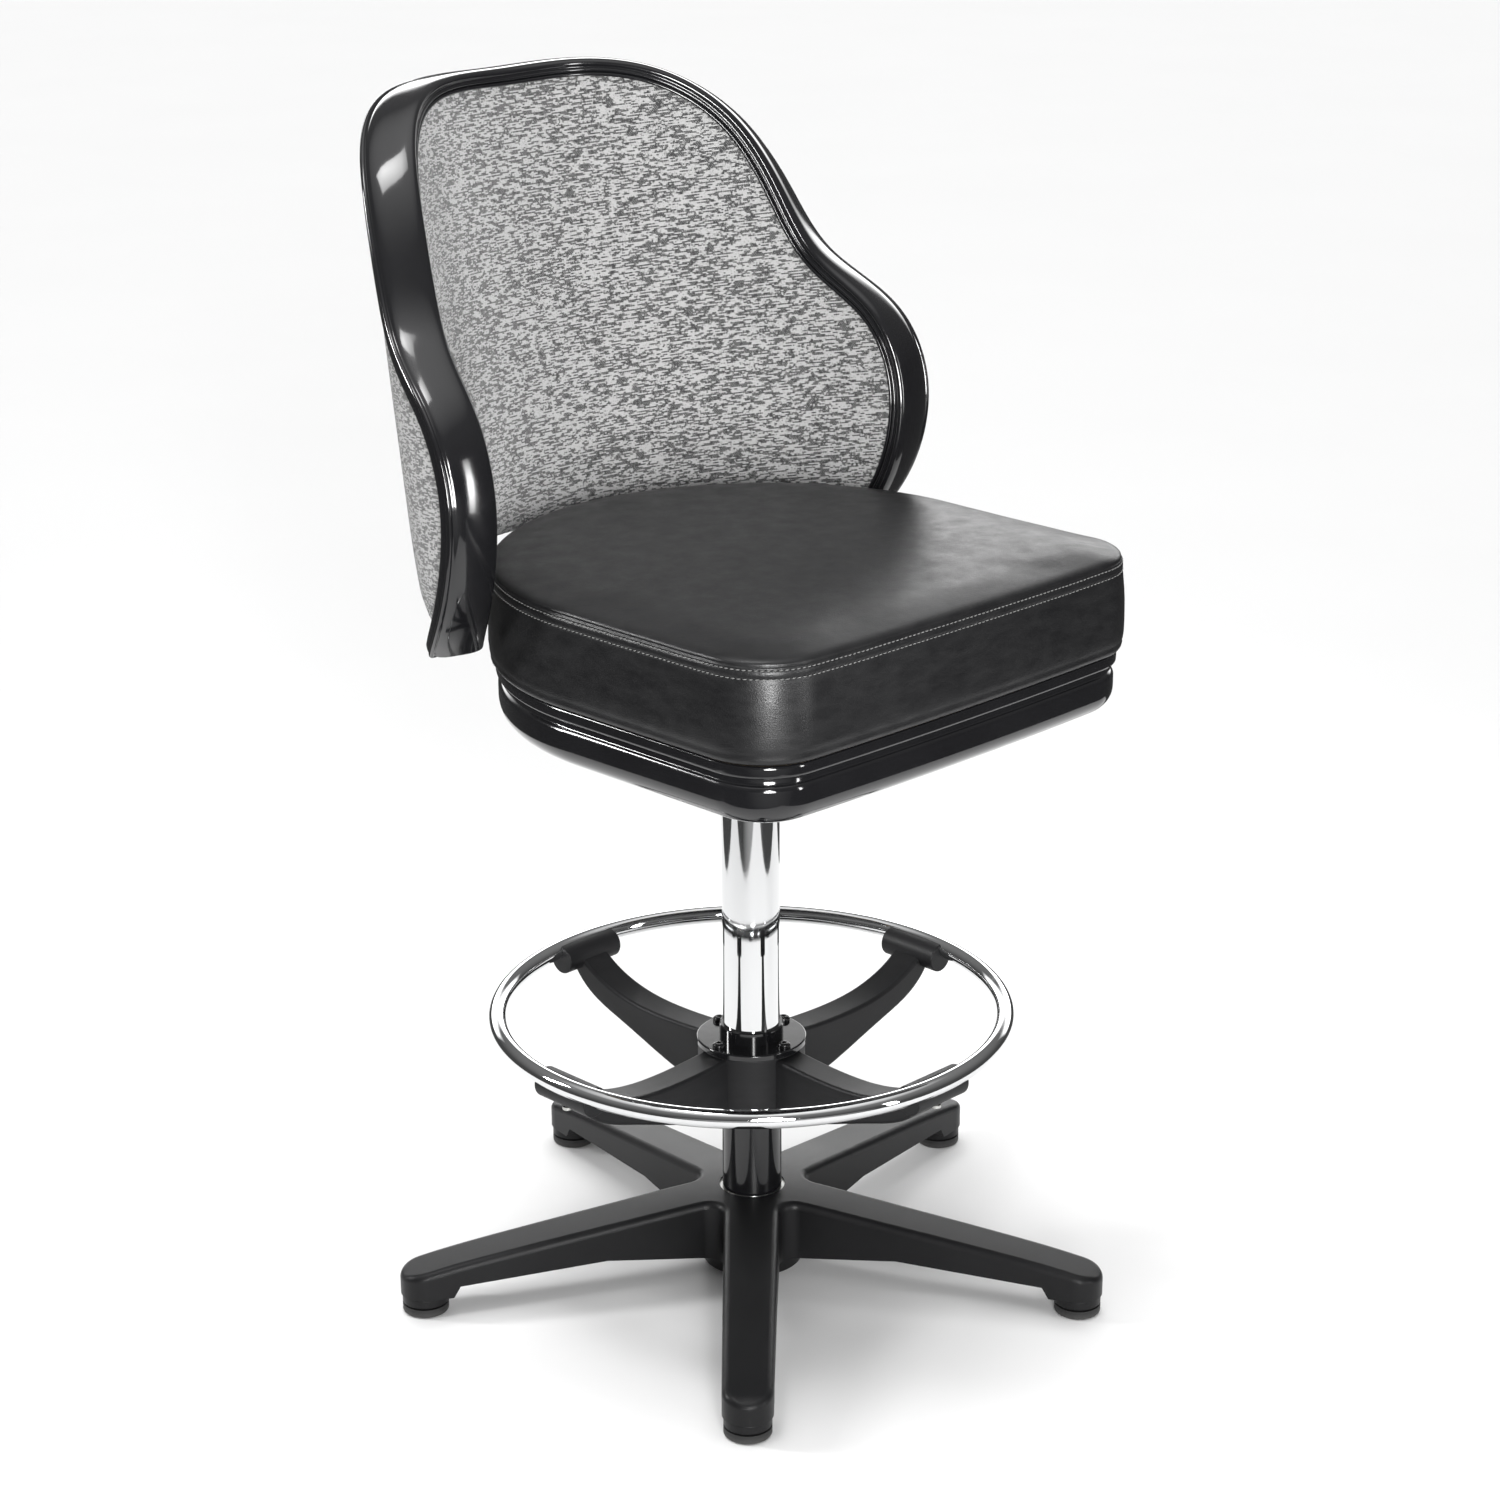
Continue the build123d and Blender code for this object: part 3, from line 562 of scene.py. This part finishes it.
stitching = piece("seat_stitching", stitch_points, stitch_faces, 80)
thread, place = finish("waxed_grey_thread")
twist = place.stretched(1, 1, 2).noise(2600, 2.0)
apply_to(thread,
         Base_Color=twist.tint((0.05, 0.05, 0.05), (0.19, 0.19, 0.185)),
         Roughness=twist * 0.2 + 0.45,
         Normal=twist.raised(0.4, 0.0001))
set_out(stitching, "seat", thread, "black_vinyl")


# ---- Upholstered back: a bent shell that leans back, padded inside and covered inside
# and out in the same grey weave, with dark slubs along the weft. Both faces are boards of
# foam with rolled edges, made flat and bent round the shell; sizes are in mm.
LEAN, PIVOT_Z, REF_R = radians(8.5), 734.5, 262.0
OUTLINE = [(0, 1068), (96, 1066), (165, 1047), (225, 1000), (261, 934), (288, 879),
           (343, 824), (364.5, 765), (354, 704), (311, 641), (279, 616)]
HEM = [(-311, 632), (-300, 640), (-271, 655), (-238, 668), (-200, 676), (0, 677),
       (200, 676), (238, 668), (271, 655), (300, 640), (311, 632)]


def smooth_line(points, count):
    """Evenly spread points on the natural cubic spline through the given ones."""
    points = np.array(points, float)
    gaps = np.linalg.norm(np.diff(points, axis=0), axis=1)
    place = np.r_[0, np.cumsum(gaps)]
    size = len(points)
    system, right = np.eye(size), np.zeros_like(points)
    for i in range(1, size - 1):
        system[i, i - 1:i + 2] = gaps[i - 1], 2 * (gaps[i - 1] + gaps[i]), gaps[i]
        right[i] = 6 * ((points[i + 1] - points[i]) / gaps[i]
                        - (points[i] - points[i - 1]) / gaps[i - 1])
    bend = np.linalg.solve(system, right)
    t = np.linspace(0, place[-1], count)
    i = np.clip(np.searchsorted(place, t) - 1, 0, size - 2)
    gap = gaps[i][:, None]
    a = (place[i + 1] - t)[:, None] / gap
    b = 1 - a
    return (a * points[i] + b * points[i + 1]
            + ((a ** 3 - a) * bend[i] + (b ** 3 - b) * bend[i + 1]) * gap ** 2 / 6)


def bent(flat, radius):
    """Flattened points in mm, wrapped round the shell at a radius and leaned back."""
    turn = flat[..., 0] / REF_R
    x, y = radius * np.sin(turn), radius * np.cos(turn)
    rise = flat[..., 1] - PIVOT_Z
    return np.stack((x, y * cos(LEAN) + rise * sin(LEAN),
                     PIVOT_Z - y * sin(LEAN) + rise * cos(LEAN)), -1) / 1000


def drawn_in(line, inset):
    """The outline moved towards the middle of the back."""
    along = np.gradient(line, axis=0)
    along /= np.linalg.norm(along, axis=1)[:, None]
    return line + np.column_stack((along[:, 1], -along[:, 0])) * inset


def nearest(points, line):
    """Distance from each flattened point to a line of points."""
    return np.array([np.hypot(*(line - p).T).min() for p in points])


full_line = [(-s, z) for s, z in OUTLINE[:0:-1]] + OUTLINE
edge_line = drawn_in(smooth_line(full_line, 1201), 4.0)
hem_line = smooth_line(HEM, 401)
gap = np.linalg.norm(edge_line[:, None] - hem_line[None], axis=2)
left_end = np.unravel_index(gap[:600].argmin(), gap[:600].shape)
right_end = np.unravel_index(gap[600:].argmin(), gap[600:].shape)
edge_line = edge_line[left_end[0]:600 + right_end[0] + 1]
hem_line = hem_line[left_end[1]:right_end[1] + 1]


def resample(line, count):
    """Evenly spread points along a line of points."""
    gaps = np.r_[0, np.cumsum(np.linalg.norm(np.diff(line, axis=0), axis=1))]
    t = np.linspace(0, gaps[-1], count)
    return np.column_stack([np.interp(t, gaps, line[:, k]) for k in (0, 1)])


ACROSS, UP = 130, 110
turn_in = int(len(edge_line) * 0.335)
left = resample(edge_line[:turn_in + 1], UP)
crown = resample(edge_line[turn_in:len(edge_line) - turn_in], ACROSS)
right = resample(edge_line[len(edge_line) - turn_in - 1:][::-1], UP)
hem = resample(hem_line, ACROSS)
u = np.linspace(0, 1, ACROSS)[None, :, None]
v = np.linspace(0, 1, UP)[:, None, None]
sheet = ((1 - v) * hem[None] + v * crown[None] + (1 - u) * left[:, None] + u * right[:, None]
         - (1 - u) * (1 - v) * hem[0] - u * (1 - v) * hem[-1]
         - (1 - u) * v * crown[0] - u * v * crown[-1])
flat = sheet.reshape(-1, 2)
from_edge = nearest(flat, edge_line[::2]).reshape(UP, ACROSS)
from_hem = nearest(flat, hem_line[::2]).reshape(UP, ACROSS)


def upholstered(name, face_r, back_r, crown_mm, roll):
    """A closed board: a crowned, rolled face and a flat back, joined round its rim."""
    sign = 1 if back_r > face_r else -1
    soft = 1 - np.clip(np.minimum(from_edge, from_hem * 1.3) / 75, 0, 1)
    puffed = crown_mm * (1 - soft ** 2.4)
    tuck = np.clip(1 - from_hem / roll, 0, 1)
    rolled = roll * (1 - np.sqrt(np.clip(1 - tuck ** 2, 0, 1)))
    face = bent(sheet, face_r - sign * puffed + sign * rolled)
    half_back = min(roll, abs(back_r - face_r) / 2)
    tuck = np.clip(1 - from_hem / half_back, 0, 1)
    rear = bent(sheet, back_r - sign * half_back * (1 - np.sqrt(np.clip(1 - tuck ** 2, 0, 1))))
    size = UP * ACROSS
    points = np.vstack((face.reshape(-1, 3), rear.reshape(-1, 3)))
    faces = skin(list(face), around=False)[1]
    faces += [tuple(size + i for i in f[::-1]) for f in faces]
    rim = (list(range(ACROSS)) + [(j + 1) * ACROSS - 1 for j in range(1, UP)]
           + [size - 2 - i for i in range(ACROSS - 1)]
           + [(UP - 2 - j) * ACROSS for j in range(UP - 2)])
    for a, b in zip(rim, rim[1:] + rim[:1]):
        faces.append((a, b, b + size, a + size))
    return piece(name, points, faces, 70)


back_pad = upholstered("back_pad_cover", 242.6, 257.8, 5.0, 7.6)
rear_cover = upholstered("rear_panel_cover", 281.0, 274.6, 1.6, 3.2)

weave, place = finish("grey_slub_weave", Specular_IOR_Level=0.25, Sheen_Weight=0.25,
                      Sheen_Roughness=0.45)
x, y, z = place.parts()
rise = z - PIVOT_Z / 1000
shell_y = y * cos(LEAN) - rise * sin(LEAN)
shell_z = y * sin(LEAN) + rise * cos(LEAN)
run = x.math("ARCTAN2", x, shell_y) * (REF_R / 1000)
WEFT, WARP = 0.0012, 0.0011
row, column_of = shell_z / WEFT, run / WARP
row_no, column_no = row.math("FLOOR", row), run.math("FLOOR", column_of)


def yarns(first, second, third=0.0):
    """A place that is worked out from fields, for the noise of one yarn system."""
    return place.node("CombineXYZ", {}, {0: first, 1: second, 2: third})


patch = yarns(run, shell_z).stretched(1, 2.2, 1).noise(20, 3.0, 0.6)
weft_tone = yarns(run * 90 + row_no * 3.7, row_no * 1.37).noise(1.0, 3.0, 0.62)
warp_tone = yarns(shell_z * 230 + column_no * 2.9, column_no * 1.73, 5.0).noise(1.0, 2.0, 0.6)
weft_dark = (weft_tone + patch * 0.1).between(0.53, 0.57)
warp_dark = warp_tone.between(0.53, 0.58)
over = (row_no + column_no).math("PINGPONG", row_no + column_no, 1.0)
weft_hump = row.math("SINE", (row - row_no) * pi)
warp_hump = row.math("SINE", (column_of - column_no) * pi)
hump = over * weft_hump + (1 - over) * warp_hump
dark = over * weft_dark + (1 - over) * (weft_dark * 0.7 + warp_dark * 0.3)
fuzz = yarns(run, shell_z).noise(1500, 2.0)
# The hump term paints each yarn lighter along its crown and darker at its sides. That is painted
# shade between the yarns; the dark slubs and the fuzz are the yarn's own tone.
shade = (1 - dark * 0.93) * (hump * 0.34 + fuzz * 0.55 + 0.32)
apply_to(weave,
         Base_Color=shade.tint((0.009, 0.009, 0.010), (0.375, 0.375, 0.371)),
         Roughness=fuzz * 0.15 + 0.78,
         Normal=(hump + fuzz * 0.4).raised(0.55, 0.0005))
for cover, node in ((back_pad, "back_pad"), (rear_cover, "rear_panel")):
    set_out(cover, "seat", weave, "grey_weave", node)


# ---- Edge trim: glossy black extruded channel bent over the crown and down both wings.
# Two fine beads lie beside the inner fabric and one beside the outer; plugs close the ends.
def bead(centre_r, depth, radius, start, stop, steps=7):
    """Points of a round bead on the channel, as (radius of the shell, depth)."""
    angles = np.radians(np.linspace(start, stop, steps))
    return [(centre_r + radius * cos(a), depth + radius * sin(a)) for a in angles]


face = ([(241.6, 13.8)] + bead(240.3, 12.4, 1.6, 70, 290) + [(240.5, 10.4)]
        + bead(240.1, 8.6, 1.5, 100, 270) + [(240.4, 6.4), (240.3, 5.6)]
        + [(239.4, 4.6), (238.9, 3.4), (239.2, 2.0), (240.4, 0.5), (242.4, -0.7),
           (246, -1.6), (251, -2.2), (257, -2.45), (262, -2.5), (267, -2.45), (272, -2.1),
           (276, -1.3), (278.3, -0.4), (279.3, 0.5), (279.9, 0.6)]
        + bead(282.2, 1.6, 2.3, 205, 350, 8)
        + [(284.4, 3.4), (284.0, 4.2), (284.5, 6), (284.7, 9), (284.5, 12), (283.6, 13.6),
           (282.4, 13.8)])
channel = [(281.9, 13.0), (281.9, 3.0), (241.7, 3.0), (241.7, 13.2)]


def trim_ring(section, point, along, shrink=0.0):
    """A section stood square to the outline at a flattened point, shrunk to its middle."""
    section = np.array(section)
    inwards = np.array((261.7, 5.0)) - section
    section = section + inwards / np.linalg.norm(inwards, axis=1)[:, None] * shrink
    turn = point[0] / REF_R
    out = np.array((sin(turn), cos(turn), 0))
    inward = np.array((cos(turn), -sin(turn), 0)) * along[1] + np.array((0, 0, -along[0]))
    place = np.array((0, 0, point[1])) + section[:, :1] * out + section[:, 1:] * inward
    y, rise = place[:, 1], place[:, 2] - PIVOT_Z
    return np.column_stack((place[:, 0], y * cos(LEAN) + rise * sin(LEAN),
                            PIVOT_Z - y * sin(LEAN) + rise * cos(LEAN))) / 1000


def closed(rings):
    """A skin through rings, with both ends filled."""
    points, faces = skin(rings)
    size, count = len(rings[0]), len(points)
    faces += [tuple(range(size)), tuple(range(count - 1, count - size - 1, -1))]
    return points, faces


line = smooth_line(full_line, 361)
along = np.gradient(line, axis=0)
along /= np.linalg.norm(along, axis=1)[:, None]
rings = [trim_ring(face + channel, p, a) for p, a in zip(line, along)]
trim = piece("back_trim_moulding", *closed(rings), 42)
set_out(trim, "seat", gloss, "gloss_black", "back_trim")
lid = [(r, min(d, 13.6)) for r, d in face]
for name, first, second in (("right", 0, 1), ("left", -1, -2)):
    point, ahead = line[first], along[first]
    step = (line[second] - point) / np.linalg.norm(line[second] - point)
    rings = [trim_ring(lid, point + step * t, ahead, shrink)
             for t, shrink in ((4.0, 3.2), (0.02, 3.2), (0.0, 0.5), (-1.2, 0.6), (-1.9, 1.4),
                               (-2.2, 2.6), (-2.3, 5.0))]
    plug = piece(f"trim_plug_{name}", *closed(rings), 50)
    set_out(plug, "seat", gloss, "trim_plug_black", f"trim_end_{name}")
clip_black, place = finish("black_clip_plastic")
speckle = place.noise(800, 3.0)
apply_to(clip_black,
         Base_Color=speckle.tint((0.012, 0.012, 0.012), (0.025, 0.025, 0.025)),
         Roughness=speckle * 0.2 + 0.4,
         Normal=speckle.raised(0.2, 0.0002))
dress(clip_black, "panel_clips")


# ---- Studio: a sheet of white paper on a plain white floor. Mirror finishes see only the
# sheet, and past it a dim room with a bright wall behind the chair, a bright ceiling and a
# faint glow in front.
paper, place = finish("white_paper_floor", Specular_IOR_Level=0.1)
apply_to(paper,
         Base_Color=place.noise(2, 2.0).tint((0.780, 0.780, 0.780), (0.800, 0.800, 0.800)),
         Roughness=place.noise(40, 2.0) * 0.1 + 0.8)
for name, half, drop, turn in (("white_floor", 40, 0.0006, 0),
                               ("paper_sheet", 0.98, 0.0002, 25)):
    mesh = bpy.data.meshes.new(name)
    mesh.from_pydata([(-half, -half, 0), (half, -half, 0), (half, half, 0), (-half, half, 0)],
                     [], [(0, 1, 2, 3)])
    mesh.materials.append(paper)
    ground_plane = bpy.data.objects.new(name, mesh)
    ground_plane.location.z = -drop
    ground_plane.rotation_euler.z = radians(turn)
    ground_plane.visible_glossy = name == "paper_sheet"
    bpy.context.scene.collection.objects.link(ground_plane)

world = bpy.data.worlds.new("studio")
bpy.context.scene.world = world
world.use_nodes = True
east, north, up = Field(world.node_tree).node("TexCoord", {}, {}, "Generated").parts()
wall = (((east + north) * 0.7071).between(0.70, 0.86)
        * up.between(0.10, 0.18) * up.between(0.44, 0.30))
front = (east * -0.574 - north * 0.819).between(0.72, 0.95) * up.between(0.05, -0.05)
overhead = up.between(0.1, 0.9) * 0.2 + up.between(0.72, 1.0) * 1.1
dim_room = 0.07
glow = overhead + wall * 5.2 + front * 0.35 + dim_room
world.node_tree.links.new(glow.socket, world.node_tree.nodes["Background"].inputs["Strength"])
world.node_tree.nodes["Background"].inputs["Color"].default_value = (1, 1, 1, 1)
bpy.context.scene.view_settings.view_transform = "Standard"


def soft_light(name, place, aim, width, height, power):
    """A flat lamp in metres and watts, which the camera doesn't see."""
    light = bpy.data.lights.new(name, "AREA")
    light.shape, light.size, light.size_y = "RECTANGLE", width, height
    light.energy, light.spread = power, radians(45)
    lamp = bpy.data.objects.new(name, light)
    lamp.location = place
    lamp.rotation_euler = (Vector(aim) - Vector(place)).to_track_quat("-Z", "Y").to_euler()
    lamp.visible_camera = False
    bpy.context.scene.collection.objects.link(lamp)


soft_light("front_light", (-2.2, -2.9, 2.0), (0, 0, 0.8), 0.62, 1.0, 2.2)
soft_light("front_core", (-2.14, -2.82, 1.96), (0, 0, 0.8), 0.22, 0.55, 1.9)
soft_light("low_front", (-1.75, -2.35, 0.85), (0, 0, 0.9), 0.85, 1.1, 10)
soft_light("right_strip", (0.55, -2.5, 1.0), (-0.1, 0, 0.85), 0.22, 1.8, 2.0)
soft_light("top_panel", (-0.55, 0.1, 3.4), (0, 0, 0.8), 0.75, 1.1, 1.9)
soft_light("left_strip", (-1.75, 2.1, 1.8), (0, 0, 0.6), 0.24, 0.95, 3.8)
sun = bpy.data.lights.new("ceiling_light", "SUN")
sun.energy, sun.angle = 1.8, radians(50)
ceiling = bpy.data.objects.new("ceiling_light", sun)
ceiling.rotation_euler = (radians(-8), radians(6), 0)
ceiling.visible_glossy = False
bpy.context.scene.collection.objects.link(ceiling)

camera = bpy.data.objects.new("camera", bpy.data.cameras.new("camera"))
bpy.context.scene.collection.objects.link(camera)
camera.data.lens, camera.data.sensor_width = 80.55, 36
camera.location = (-1.9001, -1.9001, 1.4309)
gaze = (Vector((0, 0, 0.4835)) - camera.location).to_track_quat("-Z", "Y")
camera.rotation_euler = (gaze @ Quaternion((0, 0, 1), radians(-0.29))).to_euler()
bpy.context.scene.camera = camera
